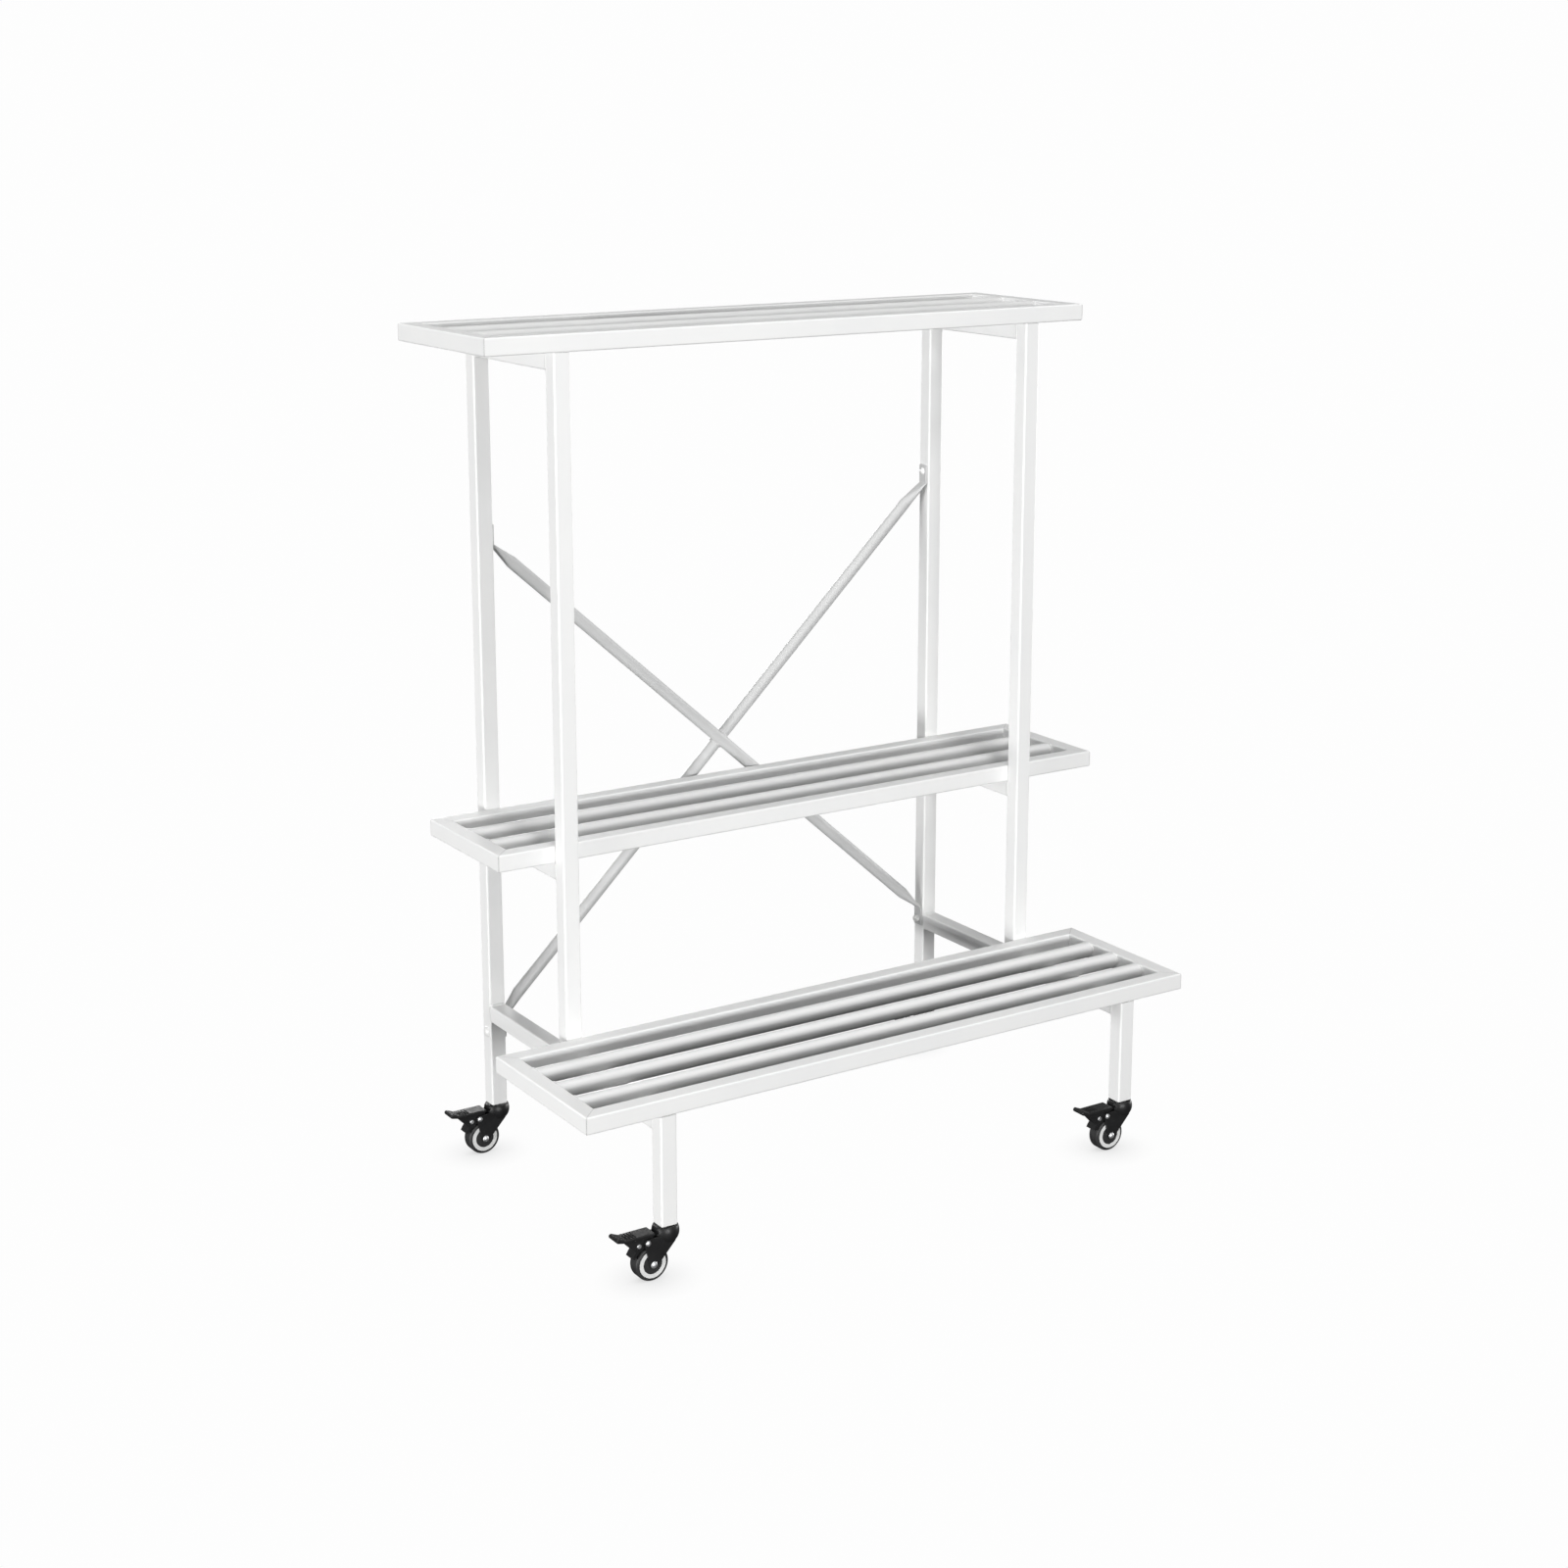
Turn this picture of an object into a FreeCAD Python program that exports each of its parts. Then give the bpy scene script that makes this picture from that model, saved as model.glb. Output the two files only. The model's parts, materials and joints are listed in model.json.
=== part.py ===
import FreeCAD, Part
import math
import os

# Rolling plant stand of white square tube: three slatted shelves stepped from front to back,
# a crossed brace between the rear posts and four braked swivel casters. Millimetres, +Z up,
# front towards -Y, origin on the floor under the middle of the stand's outline.

V = FreeCAD.Vector
X_AXIS = V(1, 0, 0)
Y_AXIS = V(0, 1, 0)
Z_AXIS = V(0, 0, 1)

# Square tube of the whole frame
TUBE = 25.0
TUBE_WALL = 1.5
TUBE_CORNER = 2.5
TUBE_INNER_CORNER = 0.8

# Where the posts stand, between tube centres
POST_SPACING = 800.0
STAND_DEPTH = 505.5
REAR_TO_MID = 243.0

# Shelves: height of the upper face, length, sideways offset from the posts' middle, number of bars
TOP_SHELF_HEIGHT = 1254.0
TOP_SHELF_LENGTH = 1010.0
TOP_SHELF_OFFSET = -10.0
TOP_SHELF_BARS = 2
MIDDLE_SHELF_HEIGHT = 538.0
MIDDLE_SHELF_LENGTH = 1055.0
MIDDLE_SHELF_OFFSET = 27.0
MIDDLE_SHELF_BARS = 2
BOTTOM_SHELF_HEIGHT = 258.0
BOTTOM_SHELF_LENGTH = 1030.0
BOTTOM_SHELF_OFFSET = -10.0
BOTTOM_SHELF_BARS = 3

# Round tube of the shelf bars and of the brace rods
BAR_DIAMETER = 24.0
BAR_WALL = 1.2
ROD_DIAMETER = 18.0
ROD_WALL = 1.2

# Brace: heights where the rod axes meet the posts' inner faces, how far the rising rod lies
# behind the falling one, and the squeezed flat ends
FALLING_ROD_LEFT = 931.0
FALLING_ROD_RIGHT = 243.0
RISING_ROD_LEFT = 208.0
RISING_ROD_RIGHT = 956.0
BRACE_STEP = 7.0
TAB_THICK = 3.0
TAB_WIDTH = 20.0
TAB_REACH = 19.0
SQUEEZE_LENGTH = 45.0
COPE_GAP = 0.05
VENT_RADIUS = 3.0

# Bolts, screws and nuts
BOLT_RADIUS = 3.0
HOLE_CLEAR = 0.1
DOME_RADIUS = 8.5
DOME_HEIGHT = 4.5
PAN_RADIUS = 5.5
PAN_HEIGHT = 3.5
NUT_FLATS = 10.0
NUT_HEIGHT = 5.0
BOLT_TAIL = 2.0
SCREW_BITE = 8.0

# Spigots in the post tops and sockets in the leg feet
PLUG_FIT = 0.05
PLUG_HEIGHT = 35.0
SPIGOT_RADIUS = 5.0
SPIGOT_HEIGHT = 14.0
SPIGOT_FIT = 0.05

# Caster wheel and its axle
WHEEL_RADIUS = 25.0
WHEEL_WIDTH = 20.0
TREAD_ROUND = 3.0
TRAIL = 26.0
AXLE_RADIUS = 3.0
AXLE_HEAD_RADIUS = 5.0
AXLE_HEAD_HEIGHT = 2.4
RUN_FIT = 0.05
HUB_RADIUS = 7.0
SIDE_PLAY = 0.3
RING_OUTER = 20.3
RING_INNER = 14.5
RING_DEPTH = 1.5
RING_PROUD = 0.5
RING_FIT = 0.05

# Caster fork: round hood on two cheeks
CHEEK_GAP = 1.2
CHEEK_THICK = 3.0
AXLE_BOSS_RADIUS = 5.8
CHEEK_FRONT = 6.8
HOOD_TOP_RADIUS = 17.5
HOOD_RADIUS = 19.0
HOOD_SKIRT_RADIUS = 14.8
HOOD_HEIGHT = 20.7
HOOD_CHAMFER = 1.0
WHEEL_CLEAR = 2.5

# Caster stem
STEM_RADIUS = 4.0
STEM_GRIP = 30.0
STEM_FIT = 0.02
FLANGE_RADIUS = 9.0
FLANGE_THICK = 1.5
SWIVEL_PLAY = 0.3
STEM_HEAD_RADIUS = 6.5
STEM_HEAD_HEIGHT = 3.5
HEAD_POCKET_CLEAR = 0.5

# Brake pedal, its pin and its shoe
PIN_RADIUS = 2.5
PIN_HEAD_RADIUS = 4.0
PIN_HEAD_HEIGHT = 2.0
PIN_BEHIND_AXLE = 8.5
PIN_ABOVE_WHEEL = 8.0
PIN_BOSS_RADIUS = 5.0
EAR_RADIUS = 5.0
PEDAL_WIDTH = 24.0
PEDAL_EDGE = 1.5
PEDAL_THICK = 4.4
PEDAL_RISE = 9.8
PEDAL_BACK_REACH = 10.0
PEDAL_FRONT_REACH = 34.0
TOE_REACH = 44.0
TOE_RISE = 13.0
TOE_THICK = 6.4
WEB_WIDTH = 18.0
WEB_ROUND = 3.0
SHOE_GAP = 4.0
SHOE_THICK = 4.5
SHOE_FROM = 112.0
SHOE_TO = 156.0

# Places worked out from the sizes above
HALF_TUBE = TUBE / 2
BAR_RADIUS = BAR_DIAMETER / 2
ROD_RADIUS = ROD_DIAMETER / 2
REAR_LINE = STAND_DEPTH / 2
MID_LINE = REAR_LINE - REAR_TO_MID
FRONT_LINE = -REAR_LINE
LEFT_ENDS = (
    TOP_SHELF_OFFSET - TOP_SHELF_LENGTH / 2,
    MIDDLE_SHELF_OFFSET - MIDDLE_SHELF_LENGTH / 2,
    BOTTOM_SHELF_OFFSET - BOTTOM_SHELF_LENGTH / 2,
)
RIGHT_ENDS = (
    TOP_SHELF_OFFSET + TOP_SHELF_LENGTH / 2,
    MIDDLE_SHELF_OFFSET + MIDDLE_SHELF_LENGTH / 2,
    BOTTOM_SHELF_OFFSET + BOTTOM_SHELF_LENGTH / 2,
)
POST_MIDDLE = -(min(LEFT_ENDS) + max(RIGHT_ENDS)) / 2
LEFT_LINE = POST_MIDDLE - POST_SPACING / 2
RIGHT_LINE = POST_MIDDLE + POST_SPACING / 2
TOP_SEAT = TOP_SHELF_HEIGHT - TUBE
MIDDLE_SEAT = MIDDLE_SHELF_HEIGHT - TUBE
BOTTOM_SEAT = BOTTOM_SHELF_HEIGHT - TUBE
HOOD_BOTTOM = 2 * WHEEL_RADIUS + WHEEL_CLEAR
HOOD_TOP = HOOD_BOTTOM + HOOD_HEIGHT
LEG_FOOT = HOOD_TOP + SWIVEL_PLAY + FLANGE_THICK
HOLE_RADIUS = BOLT_RADIUS + HOLE_CLEAR
PLUG_SIDE = TUBE - 2 * TUBE_WALL - 2 * PLUG_FIT
CHEEK_INNER = WHEEL_WIDTH / 2 + CHEEK_GAP
CHEEK_OUTER = CHEEK_INNER + CHEEK_THICK
PIN_X = -(TRAIL + PIN_BEHIND_AXLE)
PIN_Z = 2 * WHEEL_RADIUS + PIN_ABOVE_WHEEL

nodes = {}


def place(shape, direction, start):
    """Turn a shape that was made upwards from the origin to a direction and move it to its start."""
    turn = FreeCAD.Rotation(Z_AXIS, direction)
    shape.Placement = FreeCAD.Placement(start, turn).multiply(shape.Placement)
    return shape


def rounded_square(side, corner):
    """Closed outline of a square with rounded corners, centred on the origin."""
    half = side / 2
    flat = half - corner
    diagonal = flat + corner * math.sqrt(0.5)
    edges = []
    for quarter in range(4):
        straight = Part.makeLine(V(half, -flat, 0), V(half, flat, 0))
        bend = Part.Arc(V(half, flat, 0), V(diagonal, diagonal, 0), V(flat, half, 0)).toShape()
        for edge in (straight, bend):
            edge.rotate(V(0, 0, 0), Z_AXIS, 90 * quarter)
            edges.append(edge)
    return Part.Wire(edges)


def square_bar(side, corner, length):
    """Solid square bar with rounded corners, upwards from the origin."""
    return Part.Face(rounded_square(side, corner)).extrude(V(0, 0, length))


def square_tube(direction, start, length):
    """Length of the frame's square tube."""
    outside = square_bar(TUBE, TUBE_CORNER, length)
    inside = square_bar(TUBE - 2 * TUBE_WALL, TUBE_INNER_CORNER, length)
    return place(outside.cut(inside), direction, start)


def upright(x, y, bottom, top):
    """Upright square tube between two heights."""
    return square_tube(Z_AXIS, V(x, y, bottom), top - bottom)


def round_tube(radius, wall, direction, start, length):
    """Length of round tube, for a bar or a rod."""
    outside = Part.makeCylinder(radius, length, start, direction)
    inside = Part.makeCylinder(radius - wall, length, start, direction)
    return outside.cut(inside)


def spin(edges):
    """Solid turned about the Z axis from a closed outline in the XZ plane."""
    return Part.Face(Part.Wire(edges)).revolve(V(0, 0, 0), Z_AXIS, 360)


def polyline(points):
    """Straight edges through points given as distance from the axis and height."""
    corners = [V(radius, 0, height) for radius, height in points]
    return [Part.makeLine(first, second) for first, second in zip(corners, corners[1:])]


def dome(radius, height):
    """Round rivet or bolt head: a cap of a sphere standing on the XY plane."""
    ball = (radius ** 2 + height ** 2) / (2 * height)
    half_angle = math.asin(radius / ball) / 2
    crown = V(ball * math.sin(half_angle), 0, height - ball + ball * math.cos(half_angle))
    arc = Part.Arc(V(radius, 0, 0), crown, V(0, 0, height)).toShape()
    return spin(polyline([(0, height), (0, 0), (radius, 0)]) + [arc])


def hex_nut(direction, start):
    """Hexagon nut with its hole, seated at its start."""
    corner = NUT_FLATS / math.sqrt(3)
    angles = [math.radians(60 * side) for side in range(7)]
    outline = Part.makePolygon([V(corner * math.cos(a), corner * math.sin(a), 0) for a in angles])
    nut = Part.Face(outline).extrude(V(0, 0, NUT_HEIGHT))
    nut = nut.cut(Part.makeCylinder(HOLE_RADIUS, NUT_HEIGHT))
    return place(nut, direction, start)


def belt(circles, width):
    """Plate in the XZ plane, centred on y = 0, whose outline wraps circles given as x, z and radius.

    The circles go anticlockwise with x to the right and z upwards.
    """
    normals = []
    for index, (x1, z1, r1) in enumerate(circles):
        x2, z2, r2 = circles[(index + 1) % len(circles)]
        reach = math.hypot(x2 - x1, z2 - z1)
        lean = math.asin((r1 - r2) / reach)
        normals.append(math.atan2(z2 - z1, x2 - x1) - math.pi / 2 + lean)
    edges = []
    for index, (x, z, r) in enumerate(circles):
        arrive = normals[index - 1]
        sweep = (normals[index] - arrive) % (2 * math.pi)
        stops = [V(x + r * math.cos(arrive + sweep * part), 0, z + r * math.sin(arrive + sweep * part))
                 for part in (0, 0.5, 1)]
        edges.append(Part.Arc(*stops).toShape())
        next_x, next_z, next_r = circles[(index + 1) % len(circles)]
        touch = V(next_x + next_r * math.cos(normals[index]), 0, next_z + next_r * math.sin(normals[index]))
        edges.append(Part.makeLine(stops[2], touch))
    plate = Part.Face(Part.Wire(edges)).extrude(V(0, width, 0))
    plate.translate(V(0, -width / 2, 0))
    return plate


def vertical_hole(x, y, bottom, top, radius):
    """Cutter for a hole along Z."""
    return Part.makeCylinder(radius, top - bottom, V(x, y, bottom))


def mitred(tube, corners, height):
    """Cut a shelf rail to its mitred plan outline."""
    below = height - 2 * TUBE
    outline = Part.makePolygon([V(x, y, below) for x, y in corners + corners[:1]])
    return tube.common(Part.Face(outline).extrude(V(0, 0, 3 * TUBE)))


def shelf(name, height, length, offset, front, rear, bar_count, front_hole, rear_hole):
    """One slatted shelf: mitred frame between two outer faces, round bars and holes over the posts."""
    left = POST_MIDDLE + offset - length / 2
    right = left + length
    axis_height = height - HALF_TUBE
    rail_lines = {"front": (front + HALF_TUBE, front, 1), "rear": (rear - HALF_TUBE, rear, -1)}
    for side, (line, outer, inward) in rail_lines.items():
        rail = square_tube(X_AXIS, V(left, line, axis_height), length)
        far = outer - inward * TUBE
        near = outer + 2 * inward * TUBE
        corners = [(left - TUBE, far), (right + TUBE, far), (right - 2 * TUBE, near), (left + 2 * TUBE, near)]
        rail = mitred(rail, corners, height)
        hole = front_hole if side == "front" else rear_hole
        for x in (LEFT_LINE, RIGHT_LINE):
            rail = rail.cut(vertical_hole(x, line, height - TUBE, axis_height, hole))
        nodes["%s_shelf_%s_rail" % (name, side)] = rail
    end_lines = {"left": (left + HALF_TUBE, left, 1), "right": (right - HALF_TUBE, right, -1)}
    for side, (line, outer, inward) in end_lines.items():
        end = square_tube(Y_AXIS, V(line, front, axis_height), rear - front)
        far = outer - inward * TUBE
        near = outer + 2 * inward * TUBE
        corners = [(far, front - TUBE), (far, rear + TUBE), (near, rear - 2 * TUBE), (near, front + 2 * TUBE)]
        nodes["%s_shelf_%s_end" % (name, side)] = mitred(end, corners, height)
    inside = rear - front - 2 * TUBE
    gap = (inside - bar_count * BAR_DIAMETER) / (bar_count + 1)
    bars = []
    for index in range(bar_count):
        y = front + TUBE + gap + BAR_RADIUS + index * (gap + BAR_DIAMETER)
        start = V(left + TUBE, y, height - BAR_RADIUS)
        bars.append(round_tube(BAR_RADIUS, BAR_WALL, X_AXIS, start, length - 2 * TUBE))
    nodes["%s_shelf_bars" % name] = Part.makeCompound(bars)


def side_frame(side, x, low_bolt, high_bolt, inward):
    """Posts, leg and side rails of one side, with the holes for brace and shelf fixings."""
    rear_post = upright(x, REAR_LINE, LEG_FOOT, TOP_SEAT)
    through = Part.makeCylinder(HOLE_RADIUS, TUBE, V(x - HALF_TUBE, REAR_LINE, low_bolt), X_AXIS)
    half_way = Part.makeCylinder(HOLE_RADIUS, HALF_TUBE, V(x, REAR_LINE, high_bolt), X_AXIS * inward)
    nodes[side + "_rear_post"] = rear_post.cut(through).cut(half_way)
    nodes[side + "_mid_post"] = upright(x, MID_LINE, BOTTOM_SEAT, TOP_SEAT)
    nodes[side + "_front_leg"] = upright(x, FRONT_LINE, LEG_FOOT, BOTTOM_SEAT)
    short_start = MID_LINE + HALF_TUBE
    short_length = REAR_TO_MID - TUBE
    long_start = FRONT_LINE + HALF_TUBE
    long_length = REAR_LINE - FRONT_LINE - TUBE
    upper = square_tube(Y_AXIS, V(x, short_start, TOP_SEAT - HALF_TUBE), short_length)
    middle = square_tube(Y_AXIS, V(x, short_start, MIDDLE_SEAT - HALF_TUBE), short_length)
    lower = square_tube(Y_AXIS, V(x, long_start, BOTTOM_SEAT - HALF_TUBE), long_length)
    for y in (MIDDLE_FRONT_SCREW, MIDDLE_REAR_SCREW):
        middle = middle.cut(vertical_hole(x, y, MIDDLE_SEAT - TUBE, MIDDLE_SEAT, HOLE_RADIUS))
    lower = lower.cut(vertical_hole(x, BOTTOM_REAR_SCREW, BOTTOM_SEAT - TUBE, BOTTOM_SEAT, HOLE_RADIUS))
    nodes[side + "_upper_side_rail"] = upper
    nodes[side + "_middle_side_rail"] = middle
    nodes[side + "_lower_side_rail"] = lower


def shelf_screw(x, y, seat):
    """Pan-head screw from under a side rail into the shelf above it."""
    bottom = seat - TUBE
    top = seat + TUBE_WALL + NUT_HEIGHT + BOLT_TAIL
    shank = Part.makeCylinder(BOLT_RADIUS, top - bottom, V(x, y, bottom))
    head = place(dome(PAN_RADIUS, PAN_HEIGHT), V(0, 0, -1), V(x, y, bottom))
    return [shank.fuse(head), hex_nut(Z_AXIS, V(x, y, seat + TUBE_WALL))]


def post_spigot(x, y, seat):
    """Plug in the top of a post with a round spigot that enters the shelf rail above."""
    plug = square_bar(PLUG_SIDE, TUBE_INNER_CORNER, PLUG_HEIGHT)
    pin = Part.makeCylinder(SPIGOT_RADIUS, SPIGOT_HEIGHT, V(0, 0, PLUG_HEIGHT))
    spigot = plug.fuse(pin)
    spigot.translate(V(x, y, seat - PLUG_HEIGHT))
    return spigot


def brace_bolt(x, height, inward):
    """Through bolt with its dome outside the post and its nut on the rod's flat end."""
    reach = TUBE + TAB_THICK
    outer = V(x - inward * HALF_TUBE, REAR_LINE, height)
    shank = Part.makeCylinder(BOLT_RADIUS, reach + NUT_HEIGHT + BOLT_TAIL, outer, X_AXIS * inward)
    head = place(dome(DOME_RADIUS, DOME_HEIGHT), X_AXIS * -inward, outer)
    return [shank.fuse(head), hex_nut(X_AXIS * inward, outer + X_AXIS * (inward * reach))]


def brace_screw(x, height, inward):
    """Screw driven from the inside through the rod's flat end into the post's inner wall."""
    face = V(x + inward * (HALF_TUBE + TAB_THICK), REAR_LINE, height)
    length = TAB_THICK + TUBE_WALL + SCREW_BITE
    shank = Part.makeCylinder(BOLT_RADIUS, length, face, X_AXIS * -inward)
    return shank.fuse(place(dome(PAN_RADIUS, PAN_HEIGHT), X_AXIS * inward, face))


def octagon_points(centre, wide, thick, half_width, half_thick, corner):
    """Eight stations round a flat or round section, in the same order for both."""
    if corner is None:
        angles = [math.radians(45 * step) for step in range(8)]
        return [centre + wide * (half_width * math.cos(a)) + thick * (half_thick * math.sin(a))
                for a in angles]
    long_side = half_width - corner
    return [
        centre + wide * half_width,
        centre + wide * long_side + thick * half_thick,
        centre + thick * half_thick,
        centre - wide * long_side + thick * half_thick,
        centre - wide * half_width,
        centre - wide * long_side - thick * half_thick,
        centre - thick * half_thick,
        centre + wide * long_side - thick * half_thick,
    ]


def squeezed_end(face_x, height, along, inward, down, setback):
    """End of a brace rod: round tube squeezed to a flat tab that lies on the post's inner face."""
    foot = V(face_x, REAR_LINE, height)
    neck = foot + along * SQUEEZE_LENGTH + Y_AXIS * setback
    upward = V(along.z * inward, 0, -along.x * inward) * -down
    ring = octagon_points(neck, Y_AXIS, upward, ROD_RADIUS, ROD_RADIUS, None)
    ring_edges = []
    for index in range(8):
        after = ring[(index + 1) % 8]
        middle = (ring[index] + after) * 0.5 - neck
        middle = neck + middle * (ROD_RADIUS / middle.Length)
        ring_edges.append(Part.Arc(ring[index], middle, after).toShape())
    flat_centre = foot + X_AXIS * (inward * TAB_THICK / 2)
    flat = octagon_points(flat_centre, Y_AXIS, X_AXIS * inward, TAB_WIDTH / 2, TAB_THICK / 2, TAB_THICK / 2)
    flat_edges = [Part.makeLine(flat[index], flat[(index + 1) % 8]) for index in range(8)]
    taper = Part.makeLoft([Part.Wire(ring_edges), Part.Wire(flat_edges)], True, True)
    outline = Part.Face(Part.Wire(flat_edges))
    tab = outline.extrude(V(0, 0, down * (TAB_REACH + TAB_WIDTH / 2)))
    return taper.fuse(tab)


def brace_end_hole(face_x, height, inward):
    """Cutter for the bolt hole through a rod's flat end."""
    start = V(face_x - inward * TAB_THICK, REAR_LINE, height)
    return Part.makeCylinder(HOLE_RADIUS, 3 * TAB_THICK, start, X_AXIS * inward)


def caster_fork():
    """Round hood with a cheek on each side of the wheel."""
    seat_z = HOOD_BOTTOM + STEM_HEAD_HEIGHT + HEAD_POCKET_CLEAR + SWIVEL_PLAY
    bore = STEM_RADIUS + RUN_FIT
    pocket = STEM_HEAD_RADIUS + HEAD_POCKET_CLEAR
    shoulder = HOOD_TOP - HOOD_CHAMFER
    bulge = Part.Arc(V(HOOD_TOP_RADIUS, 0, shoulder), V(HOOD_RADIUS, 0, (HOOD_BOTTOM + shoulder) / 2),
                     V(HOOD_SKIRT_RADIUS, 0, HOOD_BOTTOM)).toShape()
    inner_path = [(HOOD_SKIRT_RADIUS, HOOD_BOTTOM), (pocket, HOOD_BOTTOM), (pocket, seat_z), (bore, seat_z),
                  (bore, HOOD_TOP), (HOOD_TOP_RADIUS - HOOD_CHAMFER, HOOD_TOP), (HOOD_TOP_RADIUS, shoulder)]
    fork = spin([bulge] + polyline(inner_path))
    outline = [
        (-TRAIL, WHEEL_RADIUS, AXLE_BOSS_RADIUS),
        (CHEEK_FRONT, HOOD_BOTTOM + HOOD_CHAMFER, HOOD_CHAMFER),
        (CHEEK_FRONT, PIN_Z + PIN_BOSS_RADIUS - HOOD_CHAMFER, HOOD_CHAMFER),
        (PIN_X, PIN_Z, PIN_BOSS_RADIUS),
    ]
    for side in (-1, 1):
        cheek = belt(outline, CHEEK_THICK)
        cheek.translate(V(0, side * (CHEEK_INNER + CHEEK_THICK / 2), 0))
        fork = fork.fuse(cheek)
    span = 2 * CHEEK_OUTER
    axle_hole = Part.makeCylinder(AXLE_RADIUS + STEM_FIT, span, V(-TRAIL, -CHEEK_OUTER, WHEEL_RADIUS), Y_AXIS)
    pin_hole = Part.makeCylinder(PIN_RADIUS + STEM_FIT, span, V(PIN_X, -CHEEK_OUTER, PIN_Z), Y_AXIS)
    return fork.cut(axle_hole).cut(pin_hole).removeSplitter()


def cross_rivet(x, z, radius, head_radius, head_height):
    """Rivet through both cheeks with a domed head on each side."""
    rivet = Part.makeCylinder(radius, 2 * CHEEK_OUTER, V(x, -CHEEK_OUTER, z), Y_AXIS)
    for side in (-1, 1):
        head = place(dome(head_radius, head_height), Y_AXIS * side, V(x, side * CHEEK_OUTER, z))
        rivet = rivet.fuse(head)
    return rivet


def caster_wheel():
    """Wheel turned about its axle, with rounded tread edges, a groove for each ring and a hub."""
    half = WHEEL_WIDTH / 2
    hub_half = CHEEK_INNER - SIDE_PLAY
    bore = AXLE_RADIUS + RUN_FIT
    shoulder = WHEEL_RADIUS - TREAD_ROUND
    slant = TREAD_ROUND * math.sqrt(0.5)
    floor = half - RING_DEPTH
    upper_round = Part.Arc(V(WHEEL_RADIUS, 0, half - TREAD_ROUND),
                           V(shoulder + slant, 0, half - TREAD_ROUND + slant), V(shoulder, 0, half)).toShape()
    lower_round = Part.Arc(V(shoulder, 0, -half), V(shoulder + slant, 0, TREAD_ROUND - half - slant),
                           V(WHEEL_RADIUS, 0, TREAD_ROUND - half)).toShape()
    tread = polyline([(WHEEL_RADIUS, TREAD_ROUND - half), (WHEEL_RADIUS, half - TREAD_ROUND)])
    upper_side = [(shoulder, half), (RING_OUTER, half), (RING_OUTER, floor), (RING_INNER, floor),
                  (RING_INNER, half), (HUB_RADIUS, half), (HUB_RADIUS, hub_half), (bore, hub_half)]
    lower_side = [(radius, -height) for radius, height in reversed(upper_side)]
    wheel = spin([lower_round] + tread + [upper_round] + polyline(upper_side + lower_side))
    return place(wheel, Y_AXIS, V(-TRAIL, 0, WHEEL_RADIUS))


def caster_rings():
    """Light ring set in the groove on each side of the wheel."""
    height = RING_DEPTH + RING_PROUD
    rings = []
    for side in (-1, 1):
        start = V(-TRAIL, side * (WHEEL_WIDTH / 2 - RING_DEPTH), WHEEL_RADIUS)
        outside = Part.makeCylinder(RING_OUTER - RING_FIT, height, start, Y_AXIS * side)
        inside = Part.makeCylinder(RING_INNER + RING_FIT, height, start, Y_AXIS * side)
        rings.append(outside.cut(inside))
    return Part.makeCompound(rings)


def brake_shoe():
    """Block with a hollow face that follows the tread at a distance."""
    inner = WHEEL_RADIUS + SHOE_GAP
    outer = inner + SHOE_THICK
    angles = [math.radians(SHOE_FROM + (SHOE_TO - SHOE_FROM) * part) for part in (0, 0.5, 1)]
    inside = [V(inner * math.cos(a) - TRAIL, 0, inner * math.sin(a) + WHEEL_RADIUS) for a in angles]
    outside = [V(outer * math.cos(a) - TRAIL, 0, outer * math.sin(a) + WHEEL_RADIUS) for a in angles]
    edges = [
        Part.Arc(*inside).toShape(),
        Part.makeLine(inside[2], outside[2]),
        Part.Arc(*reversed(outside)).toShape(),
        Part.makeLine(outside[0], inside[0]),
    ]
    shoe = Part.Face(Part.Wire(edges)).extrude(V(0, WEB_WIDTH, 0))
    shoe.translate(V(0, -WEB_WIDTH / 2, 0))
    return shoe


def rounded_plate(circles):
    """Pedal-wide plate with its long edges rounded."""
    plate = belt(circles, PEDAL_WIDTH)
    sides = [face for face in plate.Faces if abs(face.normalAt(0, 0).y) > 0.9]
    rim = [edge for face in sides for edge in face.Edges]
    return plate.makeFillet(PEDAL_EDGE, rim)


def brake_pedal():
    """Foot pedal: level plate with a raised toe over a web that turns on the pin and carries the shoe."""
    level = PIN_Z + PEDAL_RISE
    back = (PIN_X + PEDAL_BACK_REACH, level, PEDAL_THICK / 2)
    front = (PIN_X - PEDAL_FRONT_REACH, level, PEDAL_THICK / 2)
    toe = (PIN_X - TOE_REACH, PIN_Z + TOE_RISE, TOE_THICK / 2)
    plate = rounded_plate([front, back])
    lip = rounded_plate([front, toe])
    shoe_middle = math.radians((SHOE_FROM + SHOE_TO) / 2)
    heel_radius = WHEEL_RADIUS + SHOE_GAP + WEB_ROUND
    heel = (heel_radius * math.cos(shoe_middle) - TRAIL, heel_radius * math.sin(shoe_middle) + WHEEL_RADIUS,
            WEB_ROUND)
    web = belt([heel, back, front], WEB_WIDTH)
    ear = belt([(PIN_X, PIN_Z, EAR_RADIUS), back, heel], WEB_WIDTH)
    pedal = plate.fuse(lip).fuse(web).fuse(ear).fuse(brake_shoe())
    bore = Part.makeCylinder(PIN_RADIUS + RUN_FIT, WEB_WIDTH, V(PIN_X, -WEB_WIDTH / 2, PIN_Z), Y_AXIS)
    return pedal.cut(bore).removeSplitter()


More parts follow.
